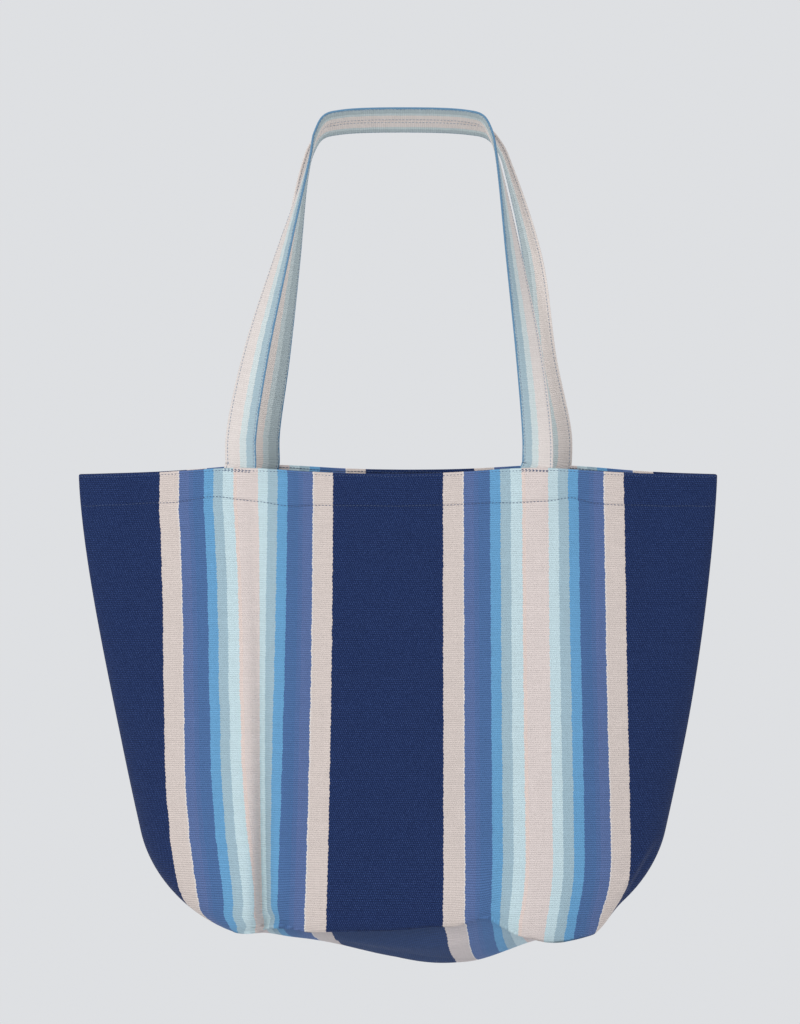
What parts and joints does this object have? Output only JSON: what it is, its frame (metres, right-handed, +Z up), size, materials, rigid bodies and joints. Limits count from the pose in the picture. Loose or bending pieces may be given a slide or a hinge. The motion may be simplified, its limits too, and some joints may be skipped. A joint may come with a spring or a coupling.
{
  "type": "striped fabric shopper bag",
  "caption": "Soft woven shopper with vertical stripes, a turned-in hem, boxed bottom corners and a pair of long flat handles.",
  "frame": {"origin": "between the two handles, on the line where their crowns rest on a pair of pegs", "axes": "+Z up as it hangs, -Y out of the front, +X to the right seen from the front"},
  "size_m": [0.5394, 0.1052, 0.7198],
  "materials": {
    "body_cloth": "handwoven ribbed cotton, matt, vertical stripes from navy to blush",
    "hem_cloth": "the same cloth turned in, matt",
    "handle_cloth": "the same cloth folded to a flat band, pale stripes with a blue edge",
    "thread": "dark blue sewing thread",
    "seam_overlock": "pale overlock thread over raw cloth edges"
  },
  "bodies": {
    "bag": {"front_panel": "body_cloth", "front_hem": "hem_cloth", "front_mouth_stitching": "thread", "front_hem_stitching": "thread", "front_left_handle_end": "handle_cloth", "front_left_tack": "thread", "front_right_handle_end": "handle_cloth", "front_right_tack": "thread", "back_panel": "body_cloth", "back_hem": "hem_cloth", "back_mouth_stitching": "thread", "back_hem_stitching": "thread", "back_left_handle_end": "handle_cloth", "back_left_tack": "thread", "back_right_handle_end": "handle_cloth", "back_right_tack": "thread", "base_panel": "body_cloth", "left_side_seam": "seam_overlock", "left_corner_seam": "seam_overlock", "right_side_seam": "seam_overlock", "right_corner_seam": "seam_overlock"},
    "front_handle": {"front_handle": "handle_cloth", "front_handle_inner_stitching": "thread", "front_handle_outer_stitching": "thread"},
    "back_handle": {"back_handle": "handle_cloth", "back_handle_inner_stitching": "thread", "back_handle_outer_stitching": "thread"}
  },
  "joints": [
    {"name": "front_handle_swing", "type": "hinge", "parent": "bag", "child": "front_handle", "pos_m": [0, -0.026, -0.289], "axis": [1, 0, 0], "range_deg": [0, 170]},
    {"name": "back_handle_swing", "type": "hinge", "parent": "bag", "child": "back_handle", "pos_m": [0, 0.026, -0.2858], "axis": [-1, 0, 0], "range_deg": [0, 170]}
  ]
}
